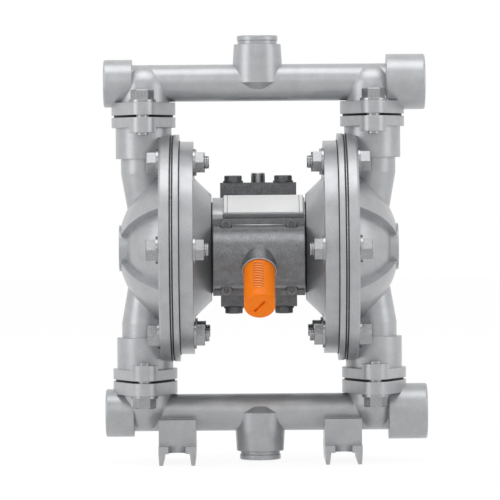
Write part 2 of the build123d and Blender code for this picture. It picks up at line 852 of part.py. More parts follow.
# Silencer
with BuildPart() as silencer:
    with BuildSketch(rim_plane):
        Circle(silencer_r)
    with BuildSketch(rim_plane.offset(silencer_length)):
        Circle(silencer_tip_r)
    loft()
    chamfer(silencer.edges().filter_by(GeomType.CIRCLE).sort_by(Axis.Z)[0], silencer_edge)
    with BuildSketch(rim_plane):
        Circle(silencer_thread_r)
    extrude(amount=-silencer_thread_length)
    with BuildSketch(rim_plane.offset(-silencer_thread_length)):
        Circle(silencer_bore_r)
    extrude(amount=silencer_thread_length + silencer_length - silencer_end_t, mode=Mode.SUBTRACT)
    # screwdriver slot across the end
    with BuildSketch(rim_plane.offset(silencer_length)):
        with Locations(Rotation(0, 0, end_slot_turn)):
            Rectangle(end_slot_length, end_slot_width)
    extrude(amount=-end_slot_depth, mode=Mode.SUBTRACT)
silencer.part.label = "silencer"
export_step(silencer.part, "parts/silencer.step")

# Gasket between body and valve block
ports_at = [(gallery_x, -gallery_z), (-gallery_x, gallery_z)]
block_height = block_top - block_bottom
block_middle = (block_top + block_bottom) / 2
with BuildPart() as block_gasket:
    with BuildSketch(facing(body_face_y)):
        Rectangle(2 * block_half_width - 1, 2 * (body_bottom - 2))
        with Locations(*ports_at):
            Circle(gallery_r, mode=Mode.SUBTRACT)
        with Locations((0, exhaust_z)):
            Circle(exhaust_r, mode=Mode.SUBTRACT)
        with GridLocations(2 * block_screw_x, 2 * block_screw_z, 2, 2):
            Circle(end_screw_r, mode=Mode.SUBTRACT)
    extrude(amount=-gasket_t)
block_gasket.part.label = "block_gasket"
export_step(block_gasket.part, "parts/block_gasket.step")

# Valve block
block_front = body_face_y + gasket_t
cap_bolts_at = [(x, block_y + y) for x in (-cap_bolt_x, cap_bolt_x) for y in (-cap_bolt_y, cap_bolt_y)]
with BuildPart() as valve_block:
    with BuildSketch(level(block_bottom)):
        with Locations((0, block_y)):
            Rectangle(2 * block_half_width, block_depth)
    extrude(amount=block_height)
    with BuildSketch(facing(block_front + block_depth)):
        Circle(inlet_boss_r)
    extrude(amount=-inlet_boss_length)
    # spool bore
    with BuildSketch(level(block_bottom)):
        with Locations((0, block_y)):
            Circle(sleeve_r)
    extrude(amount=block_height, mode=Mode.SUBTRACT)
    # air inlet
    with BuildSketch(facing(block_front + block_depth + inlet_boss_length)):
        Circle(inlet_r)
    extrude(amount=inlet_depth, mode=Mode.SUBTRACT)
    with BuildSketch(facing(block_front + block_depth + inlet_boss_length)):
        Circle(gallery_r)
    extrude(amount=inlet_boss_length + block_depth / 2, mode=Mode.SUBTRACT)
    # ports towards the body
    with BuildSketch(facing(block_y)):
        with Locations(*ports_at):
            Circle(gallery_r)
        with Locations((0, exhaust_z)):
            Circle(exhaust_r)
    extrude(amount=block_depth / 2, mode=Mode.SUBTRACT)
    # bolt and screw holes
    for z, way in ((block_top, -1), (block_bottom, 1)):
        with BuildSketch(level(z)):
            with Locations(*cap_bolts_at):
                Circle(small_bolt_r)
        extrude(amount=way * cap_bolt_depth, mode=Mode.SUBTRACT)
    with BuildSketch(facing(block_front + block_depth)):
        with GridLocations(2 * block_screw_x, 2 * block_screw_z, 2, 2):
            Circle(end_screw_r)
    extrude(amount=block_depth, mode=Mode.SUBTRACT)
valve_block.part.label = "valve_block"
export_step(valve_block.part, "parts/valve_block.step")

# Screws through the valve block into the body
block_screw = socket_screw(
    block_depth + gasket_t + block_screw_depth,
    end_screw_r,
    end_screw_head_r,
    block_screw_head_t,
    end_screw_key,
)
with BuildPart() as block_screws:
    block_back = Plane(origin=(0, block_front + block_depth, shaft_height), x_dir=(1, 0, 0), z_dir=(0, 1, 0))
    with Locations(block_back):
        with GridLocations(2 * block_screw_x, 2 * block_screw_z, 2, 2):
            add(block_screw)
block_screws.part.label = "block_screws"
export_step(block_screws.part, "parts/block_screws.step")

# Valve sleeve with rows of ports
with BuildPart() as valve_sleeve:
    with BuildSketch(level(block_bottom)):
        with Locations((0, block_y)):
            Circle(sleeve_r)
            Circle(spool_r + running_gap, mode=Mode.SUBTRACT)
    extrude(amount=block_height)
    for z in (-gallery_z, gallery_z, exhaust_z):
        with BuildSketch(facing(block_y)):
            with Locations((0, z)):
                Circle(sleeve_port_r)
        extrude(amount=sleeve_r, mode=Mode.SUBTRACT)
    with BuildSketch(facing(block_y)):
        Circle(sleeve_port_r)
    extrude(amount=-sleeve_r, mode=Mode.SUBTRACT)
valve_sleeve.part.label = "valve_sleeve"
export_step(valve_sleeve.part, "parts/valve_sleeve.step")

# Caps above and below the block, each with its gasket
for name, face_z, way in (("valve_top_cap", block_top, 1), ("valve_bottom_cap", block_bottom, -1)):
    with BuildPart() as valve_cap:
        with BuildSketch(level(face_z)):
            with Locations((0, block_y)):
                Rectangle(2 * block_half_width, block_depth)
            with Locations(*cap_bolts_at):
                Circle(small_bolt_r + screw_hole_gap, mode=Mode.SUBTRACT)
        extrude(amount=way * cap_t)
        if way == 1:
            with BuildSketch(level(face_z)):
                with Locations((0, block_y)):
                    Circle(button_stem_r + 3 * running_gap)
            extrude(amount=cap_t, mode=Mode.SUBTRACT)
            with BuildSketch(level(button_well_floor)):
                with Locations((0, block_y)):
                    Circle(button_r + running_gap)
            extrude(amount=cap_t, mode=Mode.SUBTRACT)
    valve_cap.part.label = name
    export_step(valve_cap.part, f"parts/{name}.step")

# Flange bolts of both caps
cap_bolt = flange_bolt(
    cap_t + cap_bolt_depth - 1,
    small_bolt_r,
    small_bolt_flats,
    small_bolt_washer_r,
    small_bolt_washer_t,
    small_bolt_head_t,
)
with BuildPart() as cap_bolts:
    for z, way in ((block_top + cap_t, 1), (block_bottom - cap_t, -1)):
        for x, y in cap_bolts_at:
            with Locations(Plane(origin=(x, y, shaft_height + z), z_dir=(0, 0, way))):
                add(cap_bolt)
cap_bolts.part.label = "cap_bolts"
export_step(cap_bolts.part, "parts/cap_bolts.step")

# Valve spool, at rest near the bottom cap
spool_bottom = block_bottom + spool_end_gap
groove_length = 2 * spool_ring_r + 0.1
ring_levels = [spool_bottom + spool_land + i * (spool_length - 2 * spool_land) / 4 for i in range(5)]
with BuildPart() as valve_spool:
    with BuildSketch(level(spool_bottom)):
        with Locations((0, block_y)):
            Circle(spool_r)
    extrude(amount=spool_length)
    for z in ring_levels:
        with BuildSketch(level(z - groove_length / 2)):
            with Locations((0, block_y)):
                Circle(spool_r + 1)
                Circle(spool_groove_r, mode=Mode.SUBTRACT)
        extrude(amount=groove_length, mode=Mode.SUBTRACT)
    # waists between the lands
    for low, high in ((ring_levels[1], ring_levels[2]), (ring_levels[2], ring_levels[3])):
        with BuildSketch(level(low + spool_waist_margin)):
            with Locations((0, block_y)):
                Circle(spool_r + 1)
                Circle(spool_groove_r, mode=Mode.SUBTRACT)
        extrude(amount=high - low - 2 * spool_waist_margin, mode=Mode.SUBTRACT)
valve_spool.part.label = "valve_spool"
export_step(valve_spool.part, "parts/valve_spool.step")

with BuildPart() as spool_seals:
    for z in ring_levels:
        with Locations(Location((0, block_y, shaft_height + z))):
            Torus(spool_r - spool_ring_r, spool_ring_r)
spool_seals.part.label = "spool_seals"
export_step(spool_seals.part, "parts/spool_seals.step")

# Reset button: a head in the well of the top cap, with a stem and a retaining collar below
collar_top = block_top - button_collar_drop
with BuildPart() as reset_button:
    with BuildSketch(level(button_head_bottom)):
        with Locations((0, block_y)):
            Circle(button_r)
    extrude(amount=button_head_top - button_head_bottom)
    chamfer(reset_button.edges().group_by(Axis.Z)[-1], 0.5)
    with BuildSketch(level(collar_top)):
        with Locations((0, block_y)):
            Circle(button_stem_r)
    extrude(amount=button_head_bottom - collar_top)
    with BuildSketch(level(collar_top - button_collar_t)):
        with Locations((0, block_y)):
            Circle(button_collar_r)
    extrude(amount=button_collar_t)
reset_button.part.label = "reset_button"
export_step(reset_button.part, "parts/reset_button.step")

# Button spring between the well floor and the head
spring_height = button_head_bottom - button_well_floor - 2 * button_wire_r
spring_foot = shaft_height + button_well_floor + button_wire_r
with BuildPart() as button_spring:
    with BuildLine():
        Helix(
            pitch=spring_height / button_coils,
            height=spring_height,
            radius=button_coil_r,
            center=(0, block_y, spring_foot),
        )
    with BuildSketch(Plane(origin=(button_coil_r, block_y, spring_foot), z_dir=(0, 1, 0))):
        Circle(button_wire_r)
    sweep(is_frenet=True)
button_spring.part.label = "button_spring"
export_step(button_spring.part, "parts/button_spring.step")

# Shaft, turned down at both ends for plates, diaphragm and nut
stack_x = ring_inner_x - diaphragm_t
shoulder_x = stack_x - pressure_plate_t
nut_face_x = ring_inner_x + pressure_plate_t
with BuildPart() as diaphragm_shaft:
    with BuildSketch(across(-shoulder_x)):
        Circle(shaft_r)
    extrude(amount=2 * shoulder_x)
    with BuildSketch(across(-nut_face_x - shaft_nut_t - stud_tip)):
        Circle(stud_r)
    extrude(amount=2 * (nut_face_x + shaft_nut_t + stud_tip))
    # pilot groove in the middle
    with BuildSketch(across(-pilot_groove_width / 2)):
        Circle(2 * shaft_r)
        Circle(shaft_r - pilot_groove_depth, mode=Mode.SUBTRACT)
    extrude(amount=pilot_groove_width, mode=Mode.SUBTRACT)
diaphragm_shaft.part.label = "diaphragm_shaft"
export_step(diaphragm_shaft.part, "parts/diaphragm_shaft.step")

# Round plates on both sides of each diaphragm
for name, near_x in (("air_side_plates", shoulder_x), ("fluid_side_plates", ring_inner_x)):
    with BuildPart() as plates:
        for side in (-1, 1):
            with BuildSketch(across(side * near_x)):
                Circle(plate_r)
                Circle(stud_r, mode=Mode.SUBTRACT)
            extrude(amount=side * pressure_plate_t)
    plates.part.label = name
    export_step(plates.part, f"parts/{name}.step")

with BuildPart() as shaft_nuts:
    for side in (-1, 1):
        with BuildSketch(across(side * nut_face_x)):
            RegularPolygon(shaft_nut_flats / 2, 6, major_radius=False)
            Circle(stud_r, mode=Mode.SUBTRACT)
        extrude(amount=side * shaft_nut_t)
shaft_nuts.part.label = "shaft_nuts"
export_step(shaft_nuts.part, "parts/shaft_nuts.step")

# Bushes and seals of the shaft
for name, start_x, end_x in (
    ("shaft_bushes", bush_end_x, body_half_length),
    ("shaft_seals", seal_end_x, bush_end_x),
):
    with BuildPart() as sleeves:
        for side in (-1, 1):
            with BuildSketch(across(side * start_x)):
                Circle(bush_r)
                Circle(shaft_r + running_gap, mode=Mode.SUBTRACT)
            extrude(amount=side * (end_x - start_x))
    sleeves.part.label = name
    export_step(sleeves.part, f"parts/{name}.step")

# Left diaphragm: flat rim, rolled convolution and flat centre
roll_start = plate_r + 2
roll_end = chamber_mouth_r - 1
roll_middle = (roll_start + roll_end) / 2
with BuildPart() as left_diaphragm:
    with BuildSketch(upright):
        with BuildLine():
            Line((-ring_inner_x, stud_r), (-ring_inner_x, roll_start))
            ThreePointArc(
                (-ring_inner_x, roll_start),
                (-ring_inner_x + diaphragm_bulge, roll_middle),
                (-ring_inner_x, roll_end),
            )
            Line((-ring_inner_x, roll_end), (-ring_inner_x, diaphragm_r))
            Line((-ring_inner_x, diaphragm_r), (-stack_x, diaphragm_r))
            Line((-stack_x, diaphragm_r), (-stack_x, roll_end))
            ThreePointArc(
                (-stack_x, roll_end),
                (-stack_x + diaphragm_bulge, roll_middle),
                (-stack_x, roll_start),
            )
            Line((-stack_x, roll_start), (-stack_x, stud_r))
            Line((-stack_x, stud_r), (-ring_inner_x, stud_r))
        make_face()
    revolve(axis=shaft_axis)
    with BuildSketch(across(-ring_inner_x)):
        with PolarLocations(bolt_circle_r, bolts_per_ring):
            Circle(bolt_hole_r)
    extrude(amount=diaphragm_t, mode=Mode.SUBTRACT)
left_diaphragm.part.label = "left_diaphragm"
export_step(left_diaphragm.part, "parts/left_diaphragm.step")

with BuildPart() as right_diaphragm:
    mirror(left_diaphragm.part, about=Plane.YZ)
right_diaphragm.part.label = "right_diaphragm"
export_step(right_diaphragm.part, "parts/right_diaphragm.step")

# Bolts and nuts around both diaphragms
clamp_length = ring_outer_x - air_flange_inner_x
ring_bolt = flange_bolt(
    clamp_length + nut_t + bolt_tip, bolt_r, bolt_flats, bolt_washer_r, bolt_washer_t, bolt_head_t
)
ring_turns = [i * 360 / bolts_per_ring for i in range(bolts_per_ring)]
with BuildPart() as chamber_bolts:
    for side in (-1, 1):
        for turn in ring_turns:
            place = Plane(
                origin=(
                    side * ring_outer_x,
                    bolt_circle_r * cos(radians(turn)),
                    shaft_height + bolt_circle_r * sin(radians(turn)),
                ),
                x_dir=(0, 1, 0),
                z_dir=(side, 0, 0),
            )
            with Locations(place):
                add(ring_bolt)
chamber_bolts.part.label = "chamber_bolts"
export_step(chamber_bolts.part, "parts/chamber_bolts.step")

with BuildPart() as chamber_nuts:
    for side in (-1, 1):
        with BuildSketch(across(side * air_flange_inner_x)):
            with PolarLocations(bolt_circle_r, bolts_per_ring):
                Circle(bolt_washer_r)
                Circle(bolt_r, mode=Mode.SUBTRACT)
        extrude(amount=-side * bolt_washer_t)
        with BuildSketch(across(side * air_flange_inner_x)):
            with PolarLocations(bolt_circle_r, bolts_per_ring):
                RegularPolygon(bolt_flats / 2, 6, major_radius=False)
                Circle(bolt_r, mode=Mode.SUBTRACT)
        extrude(amount=-side * nut_t)
chamber_nuts.part.label = "chamber_nuts"
export_step(chamber_nuts.part, "parts/chamber_nuts.step")

# Bolts that hold the manifolds to the fluid caps
manifold_bolt = flange_bolt(
    manifold_flange_t + joint_gap + cap_ear_t + manifold_bolt_tip,
    bolt_r,
    bolt_flats,
    bolt_washer_r,
    bolt_washer_t,
    bolt_head_t,
)
with BuildPart() as manifold_bolts:
    for way in (-1, 1):
        for x, y in ear_places:
            head_face = shaft_height + way * manifold_flange_top
            with Locations(Plane(origin=(x, y, head_face), z_dir=(0, 0, way))):
                add(manifold_bolt)
manifold_bolts.part.label = "manifold_bolts"
export_step(manifold_bolts.part, "parts/manifold_bolts.step")

# Gaskets in the four flange joints
with BuildPart() as flange_gaskets:
    for z in (cap_face, -manifold_face):
        with BuildSketch(level(z)):
            with Locations(*tube_places):
                Circle(flange_r - flange_gasket_inset)
                Circle(neck_bore_r, mode=Mode.SUBTRACT)
        extrude(amount=joint_gap)
flange_gaskets.part.label = "flange_gaskets"
export_step(flange_gaskets.part, "parts/flange_gaskets.step")

# Ball seats: the lower pair at the suction joint, the upper pair on the shoulder in the caps
lower_seat_z = -cap_face
with BuildPart() as ball_seats:
    for z in (lower_seat_z, upper_seat_z):
        for x, y in tube_places:
            with BuildSketch(Plane(origin=(x, y, shaft_height + z), x_dir=(1, 0, 0), z_dir=(0, -1, 0))):
                Polygon(
                    (seat_bore_r, 0),
                    (socket_bore_r - seat_fit, 0),
                    (socket_bore_r - seat_fit, seat_height),
                    (seat_mouth_r, seat_height),
                    (seat_bore_r, seat_height - seat_mouth_r + seat_bore_r),
                    align=None,
                )
            revolve(axis=Axis((x, y, 0), (0, 0, 1)))
ball_seats.part.label = "ball_seats"
export_step(ball_seats.part, "parts/ball_seats.step")

# Valve balls, each resting in the cone of its seat
cone_apex = seat_height - seat_mouth_r
ball_rest = cone_apex + ball_r * sqrt(2) + seat_gap
for name, x, z in (
    ("lower_left_ball", -tube_offset, lower_seat_z),
    ("lower_right_ball", tube_offset, lower_seat_z),
    ("upper_left_ball", -tube_offset, upper_seat_z),
    ("upper_right_ball", tube_offset, upper_seat_z),
):
    with BuildPart() as ball:
        with Locations((x, 0, shaft_height + z + ball_rest)):
            Sphere(ball_r)
    ball.part.label = name
    export_step(ball.part, f"parts/{name}.step")

# Plugs and sealing washers of the centre ports
with BuildPart() as centre_plug_top:
    with BuildSketch(level(centre_boss_top + washer_t)):
        Circle(plug_head_r)
    extrude(amount=plug_head_t)
    chamfer(centre_plug_top.edges().group_by(Axis.Z)[-1], 0.5)
    with BuildSketch(level(centre_boss_top + washer_t)):
        Circle(port_r)
    extrude(amount=-washer_t - plug_depth)
    with BuildSketch(level(centre_boss_top + washer_t + plug_head_t)):
        RegularPolygon(plug_key / 2, 6, major_radius=False)
    extrude(amount=-plug_key_depth, mode=Mode.SUBTRACT)
with BuildPart() as centre_plugs:
    add(centre_plug_top.part)
    mirror(centre_plug_top.part, about=middle)
centre_plugs.part.label = "centre_plugs"
export_step(centre_plugs.part, "parts/centre_plugs.step")

with BuildPart() as plug_washers:
    for way in (-1, 1):
        with BuildSketch(level(way * centre_boss_top)):
            Circle(washer_r)
            Circle(port_r, mode=Mode.SUBTRACT)
        extrude(amount=way * washer_t)
plug_washers.part.label = "plug_washers"
export_step(plug_washers.part, "parts/plug_washers.step")

# Hexagon socket plugs in the left bosses
with BuildPart() as end_plugs:
    for way in (-1, 1):
        with BuildSketch(across(-blind_boss_end + end_plug_inset)):
            with Locations((0, way * pipe_rise)):
                Circle(port_r)
        extrude(amount=end_plug_length)
        with BuildSketch(across(-blind_boss_end + end_plug_inset)):
            with Locations((0, way * pipe_rise)):
                RegularPolygon(plug_key / 2, 6, major_radius=False)
        extrude(amount=plug_key_depth, mode=Mode.SUBTRACT)
end_plugs.part.label = "end_plugs"
export_step(end_plugs.part, "parts/end_plugs.step")
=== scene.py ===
import json
import math

import bmesh
import bpy
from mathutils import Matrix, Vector


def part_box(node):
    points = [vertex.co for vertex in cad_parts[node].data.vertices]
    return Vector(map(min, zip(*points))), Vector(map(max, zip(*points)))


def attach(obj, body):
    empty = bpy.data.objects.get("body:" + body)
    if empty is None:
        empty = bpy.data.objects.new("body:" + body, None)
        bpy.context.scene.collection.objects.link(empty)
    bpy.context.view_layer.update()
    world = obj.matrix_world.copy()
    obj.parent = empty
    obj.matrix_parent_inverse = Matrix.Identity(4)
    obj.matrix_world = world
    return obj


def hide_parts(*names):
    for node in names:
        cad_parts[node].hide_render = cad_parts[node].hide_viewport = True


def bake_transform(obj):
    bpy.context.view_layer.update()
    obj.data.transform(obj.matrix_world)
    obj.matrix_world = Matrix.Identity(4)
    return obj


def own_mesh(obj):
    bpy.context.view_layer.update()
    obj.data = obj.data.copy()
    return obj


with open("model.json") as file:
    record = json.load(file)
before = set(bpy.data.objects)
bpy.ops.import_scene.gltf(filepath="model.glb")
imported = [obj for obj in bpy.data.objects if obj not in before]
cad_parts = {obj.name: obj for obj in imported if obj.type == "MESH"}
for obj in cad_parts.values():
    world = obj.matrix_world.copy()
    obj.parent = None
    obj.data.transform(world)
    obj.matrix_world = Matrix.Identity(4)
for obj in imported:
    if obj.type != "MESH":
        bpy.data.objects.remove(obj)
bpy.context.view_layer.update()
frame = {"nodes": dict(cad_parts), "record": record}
print("frame loaded:", len(frame["nodes"]), "nodes")

mm = 0.001
shaftHeight = 139 * mm


def linear(hexColour):
    # sRGB hex to the linear values that Blender wants
    parts = [int(hexColour[i : i + 2], 16) / 255 for i in (1, 3, 5)]
    return (*(c / 12.92 if c <= 0.04045 else ((c + 0.055) / 1.055) ** 2.4 for c in parts), 1)


def addNode(tree, kind, inputs=None, **settings):
    node = tree.nodes.new(kind)
    for name, value in settings.items():
        setattr(node, name, value)
    for name, value in (inputs or {}).items():
        if isinstance(value, bpy.types.NodeSocket):
            tree.links.new(value, node.inputs[name])
        else:
            node.inputs[name].default_value = value
    return node


def perMetre(size):
    # texture scale for a pattern of this size in millimetres
    return 1000 / size


# Camera: level, a little left of the middle and above it, with the picture slid down to hold the pump
cameraLook = {
    "place": (-9.2 * mm, -2.4, 189.3 * mm),
    "roll": math.radians(0.45),
    "lens": 265.8,
    "shiftX": 0.012,
    "shiftY": -0.16,
}

cameraData = bpy.data.cameras.new("photoCamera")
cameraData.lens = cameraLook["lens"]
cameraData.sensor_width = 36
cameraData.shift_x = cameraLook["shiftX"]
cameraData.shift_y = cameraLook["shiftY"]
camera = bpy.data.objects.new("photoCamera", cameraData)
camera.location = cameraLook["place"]
camera.rotation_euler = (math.pi / 2, cameraLook["roll"], 0)
bpy.context.scene.collection.objects.link(camera)
bpy.context.scene.camera = camera
print("camera placed")


# Studio: white paper sweep, soft boxes left, right and above, and a weak one at the camera
studioLook = {
    "paper": "#f2f2f2",
    "paperSize": 8,
    "paperGlow": 0.88,
    "paperStrength": 1.045,
    "backLight": 1.0,
    "frontLight": 0.2,
    "dimmestAt": -0.8,  # as the direction's share along Y
    "brightestAt": 0.6,
    "lamps": {
        "leftSoftbox": ((-1.2, -0.7, 0.55), (0.7, 1.2), 5.0),
        "rightSoftbox": ((1.25, -0.6, 0.5), (0.7, 1.2), 3.6),
        "topSoftbox": ((0, -0.3, 1.4), (1.2, 0.8), 6.5),
        "frontFill": ((-0.3, -2.3, 1.3), (1.0, 1.0), 2.5),
    },
}


def showsWhite(tree):
    # 1 for rays that show the background: straight to the camera, or mirrored in the metal
    rays = addNode(tree, "ShaderNodeLightPath")
    direct = addNode(
        tree,
        "ShaderNodeMath",
        {0: rays.outputs["Is Camera Ray"], 1: rays.outputs["Is Glossy Ray"]},
        operation="MAXIMUM",
    )
    every = addNode(
        tree,
        "ShaderNodeMath",
        {0: direct.outputs[0], 1: rays.outputs["Is Transmission Ray"]},
        operation="MAXIMUM",
    )
    return every.outputs[0]


def makeStudio(look):
    bpy.context.scene.view_settings.view_transform = "Standard"
    world = bpy.data.worlds.new("studioWorld")
    bpy.context.scene.world = world
    world.use_nodes = True
    tree = world.node_tree
    tree.nodes.clear()
    # the room is bright behind the pump and dim at the camera, so round castings get light edges
    ahead = addNode(tree, "ShaderNodeTexCoord").outputs["Generated"]
    split = addNode(tree, "ShaderNodeSeparateXYZ", {"Vector": ahead})
    shade = addNode(
        tree,
        "ShaderNodeMapRange",
        {
            "Value": split.outputs["Y"],
            "From Min": look["dimmestAt"],
            "From Max": look["brightestAt"],
            "To Min": look["frontLight"],
            "To Max": look["backLight"],
        },
        interpolation_type="SMOOTHSTEP",
    )
    room = addNode(tree, "ShaderNodeBackground", {"Strength": shade.outputs["Result"]})
    room.inputs["Color"].default_value = (1, 1, 1, 1)
    white = addNode(tree, "ShaderNodeBackground", {"Color": (1, 1, 1, 1), "Strength": 1})
    seen = addNode(
        tree,
        "ShaderNodeMixShader",
        {0: showsWhite(tree), 1: room.outputs[0], 2: white.outputs[0]},
    )
    addNode(tree, "ShaderNodeOutputWorld", {"Surface": seen.outputs[0]})

    bpy.ops.mesh.primitive_plane_add(size=look["paperSize"])
    paper = bpy.context.object
    paper.name = "paperFloor"
    material = bpy.data.materials.new("studioPaper")
    material.use_nodes = True
    tree = material.node_tree
    tree.nodes.clear()
    plain = addNode(tree, "ShaderNodeBsdfDiffuse", {"Color": linear(look["paper"])})
    glow = addNode(tree, "ShaderNodeEmission", {"Color": (1, 1, 1, 1), "Strength": look["paperStrength"]})
    share = addNode(
        tree,
        "ShaderNodeMath",
        {0: showsWhite(tree), 1: look["paperGlow"]},
        operation="MULTIPLY",
    )
    both = addNode(
        tree,
        "ShaderNodeMixShader",
        {0: share.outputs[0], 1: plain.outputs[0], 2: glow.outputs[0]},
    )
    addNode(tree, "ShaderNodeOutputMaterial", {"Surface": both.outputs[0]})
    paper.data.materials.append(material)

    aim = Vector((0, 0, shaftHeight))
    for name, (place, size, watts) in look["lamps"].items():
        lampData = bpy.data.lights.new(name, "AREA")
        lampData.shape = "RECTANGLE"
        lampData.size, lampData.size_y = size
        lampData.energy = watts
        lamp = bpy.data.objects.new(name, lampData)
        lamp.location = place
        lamp.rotation_euler = (aim - Vector(place)).to_track_quat("-Z", "Y").to_euler()
        bpy.context.scene.collection.objects.link(lamp)


makeStudio(studioLook)
print("studio lit")


toneRange = (0.38, 0.64)  # where the noise turns from the dark to the light tone
gritRange = (0.3, 0.7)
gritShare = 0.25
coatRoughness = 0.25


def makeFinish(name, look):
    # one layered surface: patches of two tones, grit in the height, and gloss that wanders with the patches
    material = bpy.data.materials.new(name)
    material.use_nodes = True
    tree = material.node_tree
    shader = tree.nodes["Principled BSDF"]
    place = addNode(tree, "ShaderNodeTexCoord").outputs["Object"]
    patches = addNode(
        tree,
        "ShaderNodeTexNoise",
        {"Vector": place, "Scale": perMetre(look["patch"]), "Detail": 4.0, "Roughness": 0.6},
    )
    grit = addNode(
        tree,
        "ShaderNodeTexNoise",
        {"Vector": place, "Scale": perMetre(look["grit"]), "Detail": 3.0, "Roughness": 0.65},
    )
    blend = addNode(
        tree,
        "ShaderNodeMath",
        {0: patches.outputs["Fac"], 1: grit.outputs["Fac"], 2: gritShare},
        operation="MULTIPLY_ADD",
    )
    tone = addNode(tree, "ShaderNodeValToRGB", {"Fac": blend.outputs[0]})
    tone.color_ramp.elements[0].position = toneRange[0]
    tone.color_ramp.elements[1].position = toneRange[1]
    tone.color_ramp.elements[0].color = linear(look["dark"])
    tone.color_ramp.elements[1].color = linear(look["light"])
    tree.links.new(tone.outputs["Color"], shader.inputs["Base Color"])
    gloss = addNode(
        tree,
        "ShaderNodeMapRange",
        {
            "Value": grit.outputs["Fac"],
            "From Min": gritRange[0],
            "From Max": gritRange[1],
            "To Min": look["roughness"][0],
            "To Max": look["roughness"][1],
        },
    )
    tree.links.new(gloss.outputs["Result"], shader.inputs["Roughness"])
    shader.inputs["Metallic"].default_value = look["metallic"]
    shader.inputs["Coat Weight"].default_value = look.get("coat", 0)
    shader.inputs["Coat Roughness"].default_value = coatRoughness
    edge = addNode(tree, "ShaderNodeBevel", {"Radius": look["edge"] * mm}, samples=4)
    bump = addNode(
        tree,
        "ShaderNodeBump",
        {
            "Strength": look["relief"],
            "Distance": look["gritHeight"] * mm,
            "Height": grit.outputs["Fac"],
            "Normal": edge.outputs["Normal"],
        },
    )
    tree.links.new(bump.outputs["Normal"], shader.inputs["Normal"])
    return material, tree, shader, bump


# Sand cast aluminium under silver lacquer: satin, pale grey, with a fine orange peel that sparkles a little
castAluminium = makeFinish(
    "castAluminium",
    {
        "light": "#b6b8ba",
        "dark": "#a6a8ab",
        "patch": 9,
        "grit": 0.7,  # sand grain, drawn about twice as coarse as it is so that it shows
        "gritHeight": 0.08,
        "relief": 0.45,
        "roughness": (0.3, 0.42),
        "metallic": 0.5,
        "coat": 0.25,
        "edge": 0.7,
    },
)[0]

# Cast iron grey stove enamel on rough castings: darker, grainy, with a dull sheen along its round parts
greyCasting = makeFinish(
    "greyCasting",
    {
        "light": "#7c7d80",
        "dark": "#5e6062",
        "patch": 4,
        "grit": 0.7,
        "gritHeight": 0.16,
        "relief": 0.75,
        "roughness": (0.24, 0.38),
        "metallic": 0.5,
        "coat": 0.3,
        "edge": 0.6,
    },
)[0]

# Zinc plated steel, rolled and cold headed: cooler and brighter than the castings, with tiny handling marks
zincSteel = makeFinish(
    "zincSteel",
    {
        "light": "#a0a1a3",
        "dark": "#949597",
        "patch": 6,
        "grit": 1.6,
        "gritHeight": 0.01,
        "relief": 0.1,
        "roughness": (0.24, 0.28),
        "metallic": 1.0,
        "edge": 0.35,
    },
)[0]

# Blackened steel, hot dipped and oiled: dark grey with a soft sheen on its flats
blackenedSteel = makeFinish(
    "blackenedSteel",
    {
        "light": "#747577",
        "dark": "#626365",
        "patch": 3,
        "grit": 0.5,
        "gritHeight": 0.05,
        "relief": 0.4,
        "roughness": (0.34, 0.5),
        "metallic": 0.85,
        "edge": 0.3,
    },
)[0]

# Ground and polished steel shaft: the glossiest metal, nearly even
groundSteel = makeFinish(
    "groundSteel",
    {
        "light": "#d9d9db",
        "dark": "#c4c4c8",
        "patch": 12,
        "grit": 0.4,
        "gritHeight": 0.02,
        "relief": 0.2,
        "roughness": (0.12, 0.22),
        "metallic": 1.0,
        "edge": 0.25,
    },
)[0]

# Moulded nitrile rubber: near black, dull, with a skin that scatters light at its edges
nitrileRubber = makeFinish(
    "nitrileRubber",
    {
        "light": "#2b2b2c",
        "dark": "#1b1b1c",
        "patch": 6,
        "grit": 0.6,
        "gritHeight": 0.05,
        "relief": 0.35,
        "roughness": (0.5, 0.68),
        "metallic": 0.0,
        "edge": 0.4,
    },
)[0]

# Moulded polyethylene, dyed right through: saturated orange with a soft waxy shine
polyethyleneLook = {
    "light": "#ff8800",
    "dark": "#ff7b00",
    "patch": 4,
    "grit": 0.7,
    "gritHeight": 0.05,
    "relief": 0.3,
    "roughness": (0.3, 0.42),
    "metallic": 0.0,
    "edge": 0.4,
}
orangePolyethylene, _, orangeShader, _ = makeFinish("orangePolyethylene", polyethyleneLook)
orangeShader.inputs["Specular IOR Level"].default_value = 0.25
orangeShader.inputs["Subsurface Weight"].default_value = 0.15
orangeShader.inputs["Subsurface Scale"].default_value = 1.5 * mm
# the thin bars are painted a paler orange, a painted highlight on them, and the strip between them a darker
# orange, painted shade in the slots
paintedHighlightOrange = makeFinish("paintedHighlightOrange", {**polyethyleneLook, "light": "#ff9c2c", "dark": "#ff8d14"})[0]
paintedShadeOrange = makeFinish("paintedShadeOrange", {**polyethyleneLook, "light": "#d95c00", "dark": "#c24f00"})[0]

# Pressed cellulose fibre: flat warm grey, with fibres too small to see one by one
gasketFibre = makeFinish(
    "gasketFibre",
    {
        "light": "#6a6864",
        "dark": "#4e4c49",
        "patch": 2,
        "grit": 0.4,
        "gritHeight": 0.08,
        "relief": 0.6,
        "roughness": (0.75, 0.9),
        "metallic": 0.0,
        "edge": 0.2,
    },
)[0]

# Turned acetal: off-white, with a low shine
acetal = makeFinish(
    "acetal",
    {
        "light": "#eeece4",
        "dark": "#e2dfd6",
        "patch": 8,
        "grit": 0.5,
        "gritHeight": 0.03,
        "relief": 0.25,
        "roughness": (0.32, 0.44),
        "metallic": 0.0,
        "edge": 0.3,
    },
)[0]

# Turned tin bronze, slightly dulled by oil
tinBronze = makeFinish(
    "tinBronze",
    {
        "light": "#c99a5a",
        "dark": "#a5763c",
        "patch": 5,
        "grit": 0.4,
        "gritHeight": 0.03,
        "relief": 0.3,
        "roughness": (0.25, 0.4),
        "metallic": 1.0,
        "edge": 0.3,
    },
)[0]


